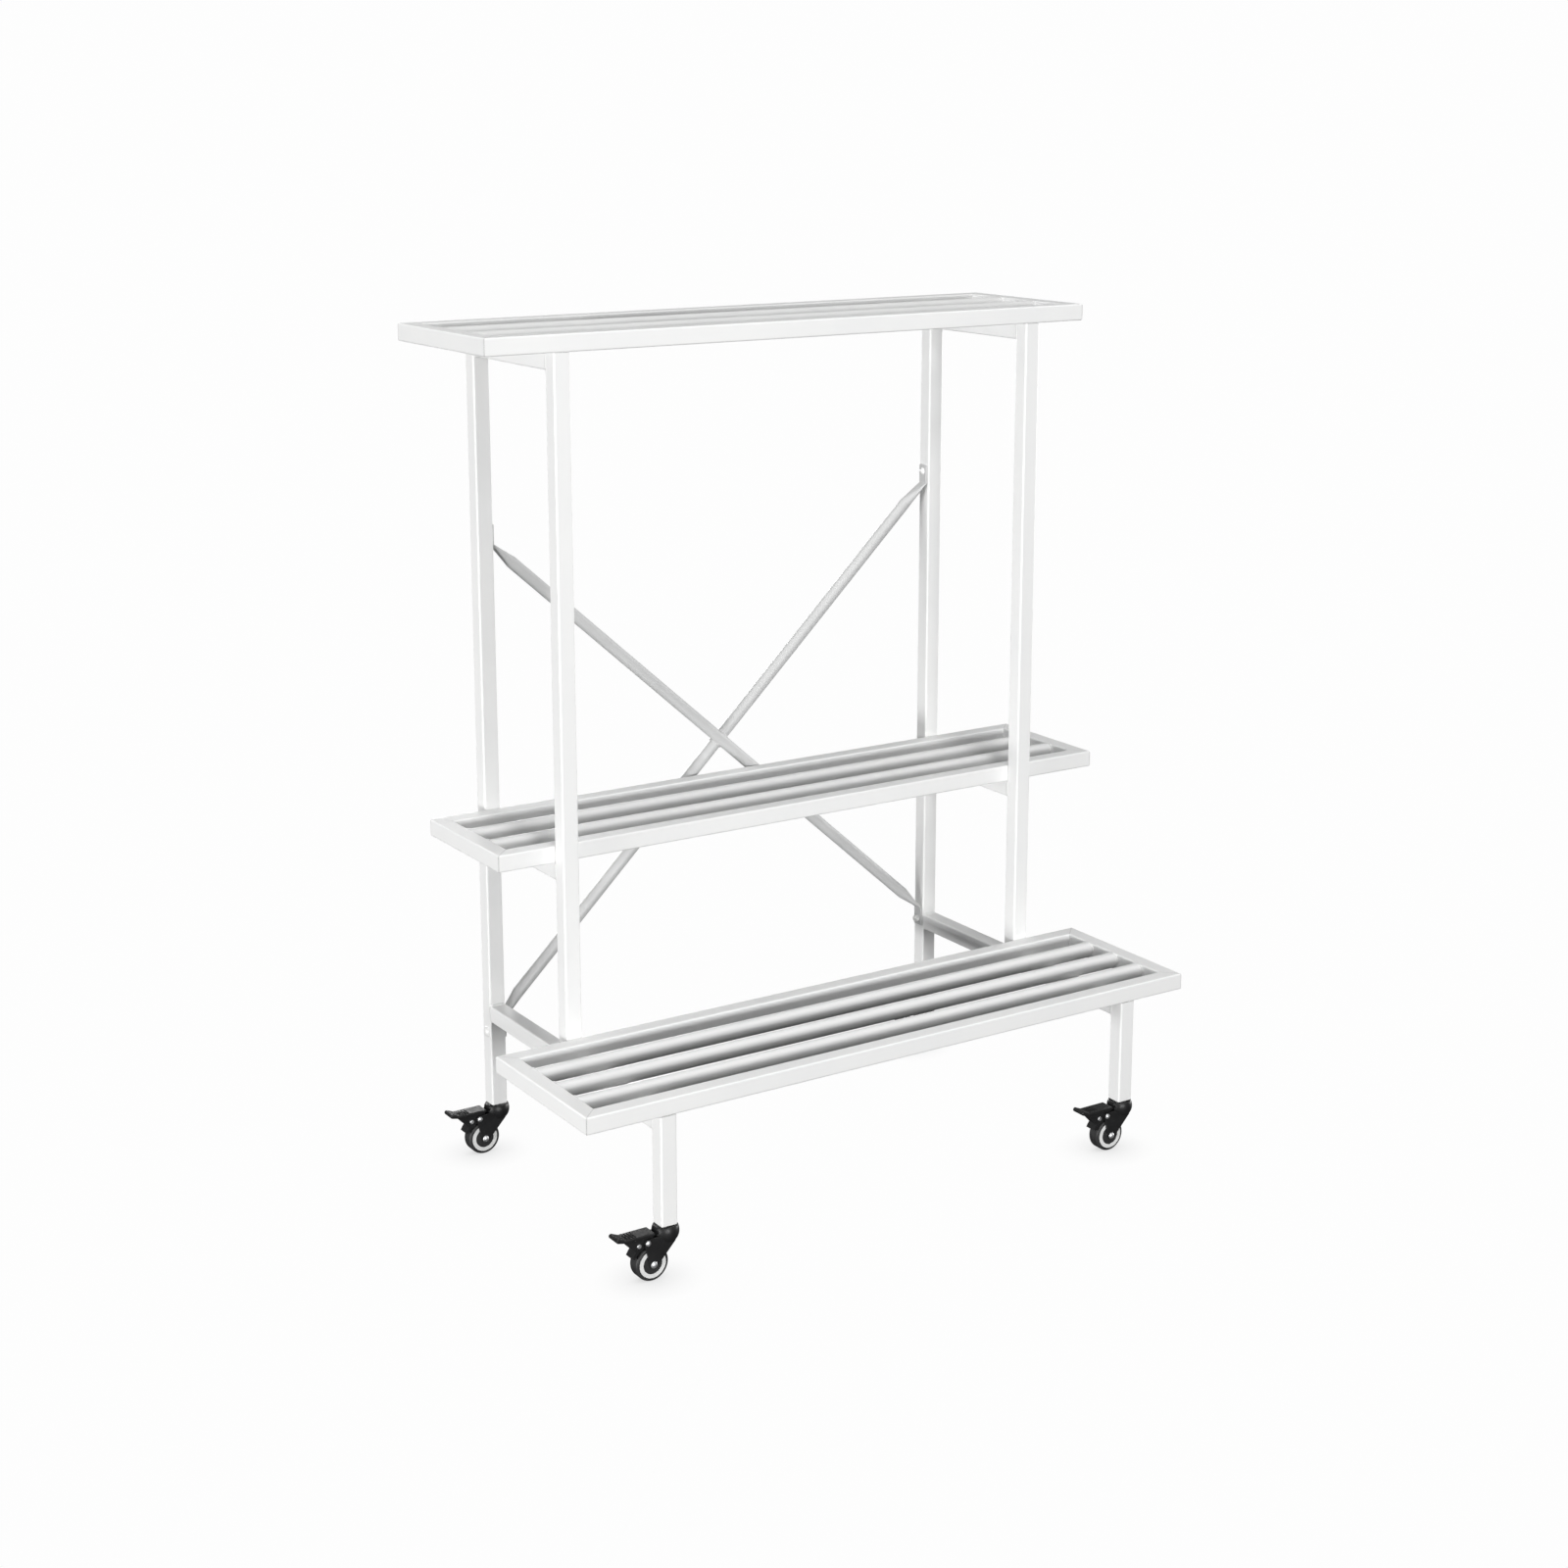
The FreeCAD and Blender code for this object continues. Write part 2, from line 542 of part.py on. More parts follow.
def caster_stem():
    """Stem with its seat under the leg, journal through the hood and riveted head below."""
    head_z = HOOD_BOTTOM + HEAD_POCKET_CLEAR
    stem = Part.makeCylinder(STEM_RADIUS, LEG_FOOT + STEM_GRIP - head_z, V(0, 0, head_z))
    flange = Part.makeCylinder(FLANGE_RADIUS, FLANGE_THICK, V(0, 0, LEG_FOOT - FLANGE_THICK))
    head = Part.makeCylinder(STEM_HEAD_RADIUS, STEM_HEAD_HEIGHT, V(0, 0, head_z))
    return stem.fuse(flange).fuse(head)


def caster_socket():
    """Plug in the foot of a leg with the hole that grips the stem."""
    plug = square_bar(PLUG_SIDE, TUBE_INNER_CORNER, PLUG_HEIGHT)
    plug = plug.cut(Part.makeCylinder(STEM_RADIUS + STEM_FIT, PLUG_HEIGHT))
    plug.translate(V(0, 0, LEG_FOOT))
    return plug


# Rails of the middle and bottom shelf that are screwed down on the side rails
MIDDLE_FRONT_SCREW = MID_LINE + TUBE
MIDDLE_REAR_SCREW = REAR_LINE - TUBE
BOTTOM_REAR_SCREW = MID_LINE - TUBE

# Side frames
side_frame("left", LEFT_LINE, RISING_ROD_LEFT - TAB_REACH, FALLING_ROD_LEFT + TAB_REACH, 1)
side_frame("right", RIGHT_LINE, FALLING_ROD_RIGHT - TAB_REACH, RISING_ROD_RIGHT + TAB_REACH, -1)

# Shelves from the bottom up
spigot_hole = SPIGOT_RADIUS + SPIGOT_FIT
shelf("bottom", BOTTOM_SHELF_HEIGHT, BOTTOM_SHELF_LENGTH, BOTTOM_SHELF_OFFSET,
      FRONT_LINE - HALF_TUBE, MID_LINE - HALF_TUBE, BOTTOM_SHELF_BARS, spigot_hole, HOLE_RADIUS)
shelf("middle", MIDDLE_SHELF_HEIGHT, MIDDLE_SHELF_LENGTH, MIDDLE_SHELF_OFFSET,
      MID_LINE + HALF_TUBE, REAR_LINE - HALF_TUBE, MIDDLE_SHELF_BARS, HOLE_RADIUS, HOLE_RADIUS)
shelf("top", TOP_SHELF_HEIGHT, TOP_SHELF_LENGTH, TOP_SHELF_OFFSET,
      MID_LINE - HALF_TUBE, REAR_LINE + HALF_TUBE, TOP_SHELF_BARS, spigot_hole, spigot_hole)

# Fixings of the shelves
spigots = []
screws = []
for x in (LEFT_LINE, RIGHT_LINE):
    spigots.append(post_spigot(x, REAR_LINE, TOP_SEAT))
    spigots.append(post_spigot(x, MID_LINE, TOP_SEAT))
    spigots.append(post_spigot(x, FRONT_LINE, BOTTOM_SEAT))
    screws.extend(shelf_screw(x, MIDDLE_FRONT_SCREW, MIDDLE_SEAT))
    screws.extend(shelf_screw(x, MIDDLE_REAR_SCREW, MIDDLE_SEAT))
    screws.extend(shelf_screw(x, BOTTOM_REAR_SCREW, BOTTOM_SEAT))
nodes["post_spigots"] = Part.makeCompound(spigots)
nodes["shelf_screws"] = Part.makeCompound(screws)

# Brace: the falling rod runs from post to post in front, the rising rod is coped and joined
# to its back in two halves
left_face = LEFT_LINE + HALF_TUBE
right_face = RIGHT_LINE - HALF_TUBE
falling_start = V(left_face, REAR_LINE, FALLING_ROD_LEFT)
falling_end = V(right_face, REAR_LINE, FALLING_ROD_RIGHT)
rising_start = V(left_face, REAR_LINE + BRACE_STEP, RISING_ROD_LEFT)
rising_end = V(right_face, REAR_LINE + BRACE_STEP, RISING_ROD_RIGHT)
falling_length = falling_start.distanceToPoint(falling_end)
rising_length = rising_start.distanceToPoint(rising_end)
falling_way = (falling_end - falling_start) * (1 / falling_length)
rising_way = (rising_end - rising_start) * (1 / rising_length)
left_drop = FALLING_ROD_LEFT - RISING_ROD_LEFT
right_rise = RISING_ROD_RIGHT - FALLING_ROD_RIGHT
cross_share = left_drop / (left_drop + right_rise)
crossing = rising_start + (rising_end - rising_start) * cross_share

falling_rod = round_tube(ROD_RADIUS, ROD_WALL, falling_way, falling_start + falling_way * SQUEEZE_LENGTH,
                         falling_length - 2 * SQUEEZE_LENGTH)
falling_rod = falling_rod.fuse(squeezed_end(left_face, FALLING_ROD_LEFT, falling_way, 1, 1, 0))
falling_rod = falling_rod.fuse(squeezed_end(right_face, FALLING_ROD_RIGHT, falling_way * -1, -1, -1, 0))
falling_rod = falling_rod.cut(brace_end_hole(left_face, FALLING_ROD_LEFT + TAB_REACH, 1))
falling_rod = falling_rod.cut(brace_end_hole(right_face, FALLING_ROD_RIGHT - TAB_REACH, -1))
vent = Part.makeCylinder(VENT_RADIUS, ROD_DIAMETER, crossing - Y_AXIS * (BRACE_STEP / 2), rising_way)
nodes["brace_falling_rod"] = falling_rod.cut(vent)

cope = Part.makeCylinder(ROD_RADIUS + COPE_GAP, falling_length, falling_start, falling_way)
low_start = rising_start + rising_way * SQUEEZE_LENGTH
low_length = low_start.distanceToPoint(crossing) - COPE_GAP
low_half = round_tube(ROD_RADIUS, ROD_WALL, rising_way, low_start, low_length).cut(cope)
low_half = low_half.fuse(squeezed_end(left_face, RISING_ROD_LEFT, rising_way, 1, -1, BRACE_STEP))
nodes["brace_rising_rod_low"] = low_half.cut(brace_end_hole(left_face, RISING_ROD_LEFT - TAB_REACH, 1))
high_start = crossing + rising_way * COPE_GAP
high_length = high_start.distanceToPoint(rising_end) - SQUEEZE_LENGTH
high_half = round_tube(ROD_RADIUS, ROD_WALL, rising_way, high_start, high_length).cut(cope)
high_half = high_half.fuse(squeezed_end(right_face, RISING_ROD_RIGHT, rising_way * -1, -1, 1, BRACE_STEP))
nodes["brace_rising_rod_high"] = high_half.cut(brace_end_hole(right_face, RISING_ROD_RIGHT + TAB_REACH, -1))

brace_fixings = brace_bolt(LEFT_LINE, RISING_ROD_LEFT - TAB_REACH, 1)
brace_fixings += brace_bolt(RIGHT_LINE, FALLING_ROD_RIGHT - TAB_REACH, -1)
brace_fixings.append(brace_screw(LEFT_LINE, FALLING_ROD_LEFT + TAB_REACH, 1))
brace_fixings.append(brace_screw(RIGHT_LINE, RISING_ROD_RIGHT + TAB_REACH, -1))
nodes["brace_bolts"] = Part.makeCompound(brace_fixings)

# Casters under the rear posts and front legs, all trailing to the left
caster_places = {
    "front_left": (LEFT_LINE, FRONT_LINE),
    "front_right": (RIGHT_LINE, FRONT_LINE),
    "rear_left": (LEFT_LINE, REAR_LINE),
    "rear_right": (RIGHT_LINE, REAR_LINE),
}
stems = []
sockets = []
for corner, (x, y) in caster_places.items():
    pieces = {
        "fork": caster_fork(),
        "axle": cross_rivet(-TRAIL, WHEEL_RADIUS, AXLE_RADIUS, AXLE_HEAD_RADIUS, AXLE_HEAD_HEIGHT),
        "wheel": caster_wheel(),
        "wheel_rings": caster_rings(),
        "brake_pedal": brake_pedal(),
        "pedal_pin": cross_rivet(PIN_X, PIN_Z, PIN_RADIUS, PIN_HEAD_RADIUS, PIN_HEAD_HEIGHT),
    }
    stem = caster_stem()
    socket = caster_socket()
    for shape in list(pieces.values()) + [stem, socket]:
        shape.translate(V(x, y, 0))
    for piece, shape in pieces.items():
        nodes["%s_%s" % (corner, piece)] = shape
    stems.append(stem)
    sockets.append(socket)
nodes["caster_stems"] = Part.makeCompound(stems)
nodes["caster_sockets"] = Part.makeCompound(sockets)

os.makedirs("parts", exist_ok=True)
for name, shape in nodes.items():
    shape.exportStep("parts/%s.step" % name)
print(len(nodes), "nodes")
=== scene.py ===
import json
import math

import bmesh
import bpy
from mathutils import Matrix, Vector


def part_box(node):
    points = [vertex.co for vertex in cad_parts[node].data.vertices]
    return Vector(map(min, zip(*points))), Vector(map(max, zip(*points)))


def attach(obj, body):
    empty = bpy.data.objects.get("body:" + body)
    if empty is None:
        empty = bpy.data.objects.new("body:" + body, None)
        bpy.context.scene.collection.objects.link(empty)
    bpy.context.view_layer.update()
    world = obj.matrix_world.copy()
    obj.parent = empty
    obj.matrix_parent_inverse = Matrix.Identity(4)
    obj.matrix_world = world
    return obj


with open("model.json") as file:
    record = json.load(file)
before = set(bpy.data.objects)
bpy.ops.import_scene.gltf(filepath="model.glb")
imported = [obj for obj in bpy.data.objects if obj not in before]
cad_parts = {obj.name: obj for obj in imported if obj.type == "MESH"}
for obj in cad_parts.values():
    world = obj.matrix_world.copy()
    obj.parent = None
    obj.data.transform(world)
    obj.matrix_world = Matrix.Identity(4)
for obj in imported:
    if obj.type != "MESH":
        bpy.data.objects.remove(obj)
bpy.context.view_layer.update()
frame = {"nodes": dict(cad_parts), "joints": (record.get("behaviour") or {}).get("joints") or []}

bpy.ops.object.select_all(action="DESELECT")


# Side frames: rear and mid posts, short front legs and side rails of 25 mm square steel tube.
# They are cut to length, welded up flat on a table and powder coated white in one go,
# so the same satin coat with its fine orange peel runs over tube and seam alike.

COLOUR, NUMBER = "NodeSocketColor", "NodeSocketFloat"
MIX_SHARE, MIX_FIRST, MIX_SECOND = 0, 6, 7
MIX_RESULT = 2
NOISE_MIDDLE = 0.5
WHITE_EDGE_SHADE_AND_WEAR = (0.54, 0.54, 0.537, 1)
DUST_ON_WHITE = (0.78, 0.77, 0.75, 1)
SIDES = ("left", "right")
SIDE_PIECES = ("rear_post", "mid_post", "front_leg", "upper_side_rail", "middle_side_rail", "lower_side_rail")


def start_group(name, inputs, outputs):
    """Empty shader group with its named sockets, and its two end nodes."""
    tree = bpy.data.node_groups.new(name, "ShaderNodeTree")
    for label, kind, value in inputs:
        socket = tree.interface.new_socket(label, in_out="INPUT", socket_type=kind)
        socket.default_value = value
    for label, kind in outputs:
        tree.interface.new_socket(label, in_out="OUTPUT", socket_type=kind)
    return tree, tree.nodes.new("NodeGroupInput"), tree.nodes.new("NodeGroupOutput")


def add_node(tree, kind, inputs=None, **settings):
    """Node of a kind, with settings, whose inputs are values or the sockets that feed them."""
    node = tree.nodes.new(kind)
    for key, value in settings.items():
        setattr(node, key, value)
    for key, value in (inputs or {}).items():
        if isinstance(value, bpy.types.NodeSocket):
            tree.links.new(value, node.inputs[key])
        else:
            node.inputs[key].default_value = value
    return node


def blend_colours(tree, share, first, second):
    """Colour that goes from the first to the second with the share."""
    mix = add_node(tree, "ShaderNodeMix", {MIX_SHARE: share, MIX_FIRST: first, MIX_SECOND: second},
                   data_type="RGBA")
    return mix.outputs[MIX_RESULT]


# Shared effect: a fine grain to raise as bump, with slow drifts of colour and of shine
surface_grain, ends_in, ends_out = start_group(
    "surface_grain",
    [("Colour", COLOUR, (0.8, 0.8, 0.8, 1)), ("Drift Colour", COLOUR, (0.7, 0.7, 0.7, 1)),
     ("Drift Scale", NUMBER, 9.0), ("Grain Scale", NUMBER, 900.0),
     ("Roughness", NUMBER, 0.4), ("Roughness Swing", NUMBER, 0.1)],
    [("Colour", COLOUR), ("Roughness", NUMBER), ("Height", NUMBER)])
place = add_node(surface_grain, "ShaderNodeTexCoord").outputs["Object"]
drift = add_node(surface_grain, "ShaderNodeTexNoise",
                 {"Vector": place, "Scale": ends_in.outputs["Drift Scale"], "Detail": 4.0, "Roughness": 0.55})
drift_share = add_node(surface_grain, "ShaderNodeMapRange",
                       {"Value": drift.outputs["Fac"], "From Min": 0.35, "From Max": 0.68})
grain = add_node(surface_grain, "ShaderNodeTexNoise",
                 {"Vector": place, "Scale": ends_in.outputs["Grain Scale"], "Detail": 2.0, "Roughness": 0.5})
shine_drift = add_node(surface_grain, "ShaderNodeTexNoise", {"Vector": place, "Scale": 46.0, "Detail": 3.0})
shine_offset = add_node(surface_grain, "ShaderNodeMath",
                        {0: shine_drift.outputs["Fac"], 1: NOISE_MIDDLE}, operation="SUBTRACT")
shine = add_node(surface_grain, "ShaderNodeMath",
                 {0: shine_offset.outputs[0], 1: ends_in.outputs["Roughness Swing"],
                  2: ends_in.outputs["Roughness"]}, operation="MULTIPLY_ADD")
tint = blend_colours(surface_grain, drift_share.outputs[0],
                     ends_in.outputs["Colour"], ends_in.outputs["Drift Colour"])
surface_grain.links.new(tint, ends_out.inputs["Colour"])
surface_grain.links.new(shine.outputs[0], ends_out.inputs["Roughness"])
surface_grain.links.new(grain.outputs["Fac"], ends_out.inputs["Height"])

# Shared effect: where a surface turns sharply, so that edges can carry painted shade, painted shine and
# rubbed wear
edge_wear_shade_and_shine, ends_in, ends_out = start_group(
    "edge_wear_shade_and_shine", [("Width", NUMBER, 0.001), ("Gain", NUMBER, 4.0)], [("Mask", NUMBER)])
rounded = add_node(edge_wear_shade_and_shine, "ShaderNodeBevel", {"Radius": ends_in.outputs["Width"]}, samples=4)
facing = add_node(edge_wear_shade_and_shine, "ShaderNodeNewGeometry").outputs["Normal"]
agree = add_node(edge_wear_shade_and_shine, "ShaderNodeVectorMath",
                 {0: rounded.outputs["Normal"], 1: facing}, operation="DOT_PRODUCT")
turned = add_node(edge_wear_shade_and_shine, "ShaderNodeMath", {0: 1.0, 1: agree.outputs["Value"]}, operation="SUBTRACT")
raised = add_node(edge_wear_shade_and_shine, "ShaderNodeMath",
                  {0: turned.outputs[0], 1: ends_in.outputs["Gain"]}, operation="MULTIPLY")
place = add_node(edge_wear_shade_and_shine, "ShaderNodeTexCoord").outputs["Object"]
patchy = add_node(edge_wear_shade_and_shine, "ShaderNodeTexNoise", {"Vector": place, "Scale": 70.0, "Detail": 3.0})
edge_wear_shade_shine = add_node(edge_wear_shade_and_shine, "ShaderNodeMath",
               {0: raised.outputs[0], 1: patchy.outputs["Fac"]}, operation="MULTIPLY", use_clamp=True)
edge_wear_shade_and_shine.links.new(edge_wear_shade_shine.outputs[0], ends_out.inputs["Mask"])

# Shared effect: dust that settles on what faces up, in soft patches
settled_dust, ends_in, ends_out = start_group(
    "settled_dust", [("Amount", NUMBER, 0.2), ("Patch Scale", NUMBER, 30.0)], [("Mask", NUMBER)])
coords = add_node(settled_dust, "ShaderNodeTexCoord")
split = add_node(settled_dust, "ShaderNodeSeparateXYZ", {0: coords.outputs["Normal"]})
upward = add_node(settled_dust, "ShaderNodeMapRange",
                  {"Value": split.outputs["Z"], "From Min": 0.25, "From Max": 1.0})
patch = add_node(settled_dust, "ShaderNodeTexNoise",
                 {"Vector": coords.outputs["Object"], "Scale": ends_in.outputs["Patch Scale"], "Detail": 5.0})
lying = add_node(settled_dust, "ShaderNodeMath",
                 {0: upward.outputs[0], 1: patch.outputs["Fac"]}, operation="MULTIPLY")
dust = add_node(settled_dust, "ShaderNodeMath",
                {0: lying.outputs[0], 1: ends_in.outputs["Amount"]}, operation="MULTIPLY", use_clamp=True)
settled_dust.links.new(dust.outputs[0], ends_out.inputs["Mask"])


def start_material(name, shown_colour):
    """Material with its shader, and the colour that it has in the plain viewport."""
    material = bpy.data.materials.new(name)
    material.use_nodes = True
    material.diffuse_color = shown_colour
    return material, material.node_tree, material.node_tree.nodes["Principled BSDF"]


def place_group(tree, group, inputs):
    """Group node of a shared effect, with this material's own values."""
    return add_node(tree, "ShaderNodeGroup", inputs, node_tree=group)


def finish_surface(tree, shader, colour, skin, strength, distance):
    """Give the shader a colour, the skin's shine, and the skin's grain as bump."""
    tree.links.new(colour, shader.inputs["Base Color"])
    tree.links.new(skin.outputs["Roughness"], shader.inputs["Roughness"])
    bump = add_node(tree, "ShaderNodeBump",
                    {"Height": skin.outputs["Height"], "Strength": strength, "Distance": distance})
    tree.links.new(bump.outputs["Normal"], shader.inputs["Normal"])


def coat(nodes, material):
    """Give CAD pieces their finish."""
    for name in nodes:
        mesh = frame["nodes"][name].data
        mesh.materials.clear()
        mesh.materials.append(material)


white_coat, tree, shader = start_material("white_powder_coat", (0.88, 0.88, 0.87, 1))
skin = place_group(tree, surface_grain,
                   {"Colour": (0.87, 0.87, 0.862, 1), "Drift Colour": (0.845, 0.848, 0.845, 1),
                    "Drift Scale": 7.0, "Grain Scale": 1100.0, "Roughness": 0.46, "Roughness Swing": 0.14})
# The coat's sharp edges are painted grey: painted shade along the edges, with some rubbed wear.
edge_wear_shade_shine = place_group(tree, edge_wear_shade_and_shine, {"Width": 0.0022, "Gain": 9.0})
dust = place_group(tree, settled_dust, {"Amount": 0.14, "Patch Scale": 22.0})
coat_colour = blend_colours(tree, edge_wear_shade_shine.outputs["Mask"], skin.outputs["Colour"], WHITE_EDGE_SHADE_AND_WEAR)
coat_colour = blend_colours(tree, dust.outputs["Mask"], coat_colour, DUST_ON_WHITE)
finish_surface(tree, shader, coat_colour, skin, strength=0.22, distance=0.00012)
coat([side + "_" + piece for side in SIDES for piece in SIDE_PIECES], white_coat)


# Welds of the side frames: a short rippled bead in each inside corner where a rail meets a post or leg,
# and a flat dressed seam on the flush faces. They lie under the same coat as the tube.

DUST_ON_ROUND_WORK = (0.76, 0.75, 0.73, 1)
QUARTER_TURN = math.radians(90)
BEAD_RADIUS = 0.0024
BEAD_LENGTH = 0.0225
BEAD_SIDES = 10
BEAD_RINGS = 15
BEAD_TIP = 0.45
BEAD_SHOULDER = 0.8
BEAD_RIPPLE = 1.16
RING_REACH = 0.0002
SEAM_RISE = 0.16


def round_work_coat(name, colour, drift_colour):
    """White coat for round tube and welds, which have no edges to rub."""
    material, tree, shader = start_material(name, colour)
    skin = place_group(tree, surface_grain,
                       {"Colour": colour, "Drift Colour": drift_colour, "Drift Scale": 9.0,
                        "Grain Scale": 1100.0, "Roughness": 0.46, "Roughness Swing": 0.14})
    dust = place_group(tree, settled_dust, {"Amount": 0.14, "Patch Scale": 22.0})
    coat_colour = blend_colours(tree, dust.outputs["Mask"], skin.outputs["Colour"], DUST_ON_ROUND_WORK)
    finish_surface(tree, shader, coat_colour, skin, strength=0.16, distance=0.0001)
    return material


def select_ring(piece, x):
    """Select the points of a bead that lie in one ring across it."""
    bpy.ops.mesh.select_all(action="DESELECT")
    shape = bmesh.from_edit_mesh(piece.data)
    for point in shape.verts:
        point.select_set(abs(point.co.x - x) < RING_REACH)
    shape.select_flush_mode()
    bmesh.update_edit_mesh(piece.data)


def model_bead():
    """Straight weld bead along X, with ripples and drawn-in ends."""
    bpy.ops.mesh.primitive_cylinder_add(vertices=BEAD_SIDES, radius=BEAD_RADIUS, depth=BEAD_LENGTH,
                                        rotation=(0, QUARTER_TURN, 0))
    bead = bpy.context.active_object
    bpy.ops.object.transform_apply(location=True, rotation=True, scale=True)
    bpy.ops.object.mode_set(mode="EDIT")
    bpy.ops.mesh.select_all(action="DESELECT")
    shape = bmesh.from_edit_mesh(bead.data)
    for edge in shape.edges:
        along = edge.verts[0].co - edge.verts[1].co
        edge.select_set(abs(along.x) > BEAD_LENGTH / 2)
    bmesh.update_edit_mesh(bead.data)
    bpy.ops.mesh.subdivide(number_cuts=BEAD_RINGS)
    step = BEAD_LENGTH / (BEAD_RINGS + 1)
    swells = [(0, BEAD_TIP), (1, BEAD_SHOULDER), (BEAD_RINGS, BEAD_SHOULDER), (BEAD_RINGS + 1, BEAD_TIP)]
    swells += [(ring, BEAD_RIPPLE) for ring in range(3, BEAD_RINGS, 2)]
    for ring, swell in swells:
        select_ring(bead, ring * step - BEAD_LENGTH / 2)
        bpy.ops.transform.resize(value=(1, swell, swell))
    bpy.ops.object.mode_set(mode="OBJECT")
    bpy.ops.object.shade_smooth()
    bpy.ops.object.select_all(action="DESELECT")
    return bead


def copy_to(pattern, matrix):
    """Copy of a modelled piece with its own mesh, moved in its mesh."""
    mesh = pattern.data.copy()
    mesh.transform(matrix)
    piece = bpy.data.objects.new(pattern.name, mesh)
    bpy.context.scene.collection.objects.link(piece)
    return piece


def join_as(name, pieces, material, body):
    """Join copies to one piece, with its finish, body and material slot."""
    bpy.ops.object.select_all(action="DESELECT")
    for piece in pieces:
        piece.select_set(True)
    bpy.context.view_layer.objects.active = pieces[0]
    bpy.ops.object.join()
    joined = bpy.context.active_object
    joined.name = name
    joined.data.materials.clear()
    joined.data.materials.append(material)
    bpy.ops.object.select_all(action="DESELECT")
    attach(joined, body)


round_coat = round_work_coat("white_coat_on_bars", (0.8, 0.8, 0.793, 1), (0.775, 0.778, 0.775, 1))
bead = model_bead()
stand_up = Matrix.Rotation(QUARTER_TURN, 4, "Y")
flatten = Matrix.Diagonal((SEAM_RISE, 1, 1, 1))
for side in SIDES:
    beads = []
    for rail in ("upper", "middle", "lower"):
        low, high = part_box("%s_%s_side_rail" % (side, rail))
        middle_x = (low.x + high.x) / 2
        middle_z = (low.z + high.z) / 2
        corners = [(low.y, low.z), (high.y, low.z)]
        if rail == "lower":
            corners.append((high.y, high.z))
        for y, z in corners:
            beads.append(copy_to(bead, Matrix.Translation((middle_x, y, z))))
        for y in (low.y, high.y):
            for x in (low.x, high.x):
                beads.append(copy_to(bead, Matrix.Translation((x, y, middle_z)) @ flatten @ stand_up))
    low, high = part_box(side + "_mid_post")
    beads.append(copy_to(bead, Matrix.Translation(((low.x + high.x) / 2, high.y, low.z))))
    join_as(side + "_frame_welds", beads, round_coat, "frame")


# Shelves: three mitred frames of the same square tube, ground smooth at the corners,
# with round tube bars welded between the ends so that their tops lie level with the rails.

SHELF_BARS = {"bottom": 3, "middle": 2, "top": 2}
SHELF_RAILS = ("front_rail", "rear_rail", "left_end", "right_end")
coat([tier + "_shelf_" + piece for tier in SHELF_BARS for piece in SHELF_RAILS], white_coat)
coat([tier + "_shelf_bars" for tier in SHELF_BARS], round_coat)


# Welds of the bars: a rippled ring round each bar where it meets the end of its shelf,
# ground off just below the shelf's top so that pots and trays slide over it.

RING_THICK = 0.0017
RING_SWELL = 0.00025
RING_CREASE = math.radians(50)
RIPPLE_STEP = 15.0
RIPPLE_CREST = 4.0
GROUND_OFF = 0.0002


def model_ring(name, radius):
    """Rippled weld ring about X."""
    bpy.ops.mesh.primitive_torus_add(major_segments=48, minor_segments=8, major_radius=radius,
                                     minor_radius=RING_THICK, rotation=(0, QUARTER_TURN, 0))
    ring = bpy.context.active_object
    ring.name = name
    bpy.ops.object.transform_apply(location=True, rotation=True, scale=True)
    bpy.ops.object.mode_set(mode="EDIT")
    bpy.ops.mesh.select_all(action="DESELECT")
    shape = bmesh.from_edit_mesh(ring.data)
    for point in shape.verts:
        turn = math.degrees(math.atan2(point.co.z, point.co.y)) % RIPPLE_STEP
        point.select_set(turn < RIPPLE_CREST or turn > RIPPLE_STEP - RIPPLE_CREST)
    shape.select_flush_mode()
    bmesh.update_edit_mesh(ring.data)
    bpy.ops.transform.shrink_fatten(value=RING_SWELL)
    bpy.ops.object.mode_set(mode="OBJECT")
    bpy.ops.object.shade_smooth_by_angle(angle=RING_CREASE)
    bpy.ops.object.select_all(action="DESELECT")
    return ring


low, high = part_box("top_shelf_bars")
bar_radius = (high.z - low.z) / 2
ring = model_ring("bar_weld", bar_radius)
bpy.context.view_layer.objects.active = ring
bpy.ops.object.mode_set(mode="EDIT")
bpy.ops.mesh.select_all(action="SELECT")
bpy.ops.mesh.bisect(plane_co=(0, 0, bar_radius - GROUND_OFF), plane_no=(0, 0, 1),
                    use_fill=True, clear_outer=True)
bpy.ops.object.mode_set(mode="OBJECT")
for tier, count in SHELF_BARS.items():
    low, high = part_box(tier + "_shelf_bars")
    first_line = low.y + bar_radius
    pitch = (high.y - low.y - 2 * bar_radius) / (count - 1)
    rings = []
    for index in range(count):
        for x in (low.x, high.x):
            spot = (x, first_line + index * pitch, high.z - bar_radius)
            rings.append(copy_to(ring, Matrix.Translation(spot)))
    join_as(tier + "_bar_welds", rings, round_coat, "frame")


# Brace: two round rods crossed behind the shelves, one whole and one in two halves welded to it,
# with squeezed flat ends that are bolted to the rear posts. Their white coat is painted grey all over
# as painted shade.

rod_coat_painted_shade = round_work_coat("grey_painted_shade_coat_on_rods", (0.56, 0.562, 0.56, 1), (0.53, 0.533, 0.531, 1))
coat(["brace_falling_rod", "brace_rising_rod_low", "brace_rising_rod_high"], rod_coat_painted_shade)


# Weld of the brace: a rippled ring round each half of the rising rod where it meets the falling one.
# It is laid from behind after coping and coated with the rods.

ROD_RADIUS = 0.009
WELD_REACH = 0.0086
RISING_WAY = Vector((0.775, 0, 0.748)).normalized()
ACROSS_FALLING_ROD = Vector((0.688, 0, 0.775)).normalized()
BACKWARD = Vector((0, 1, 0))

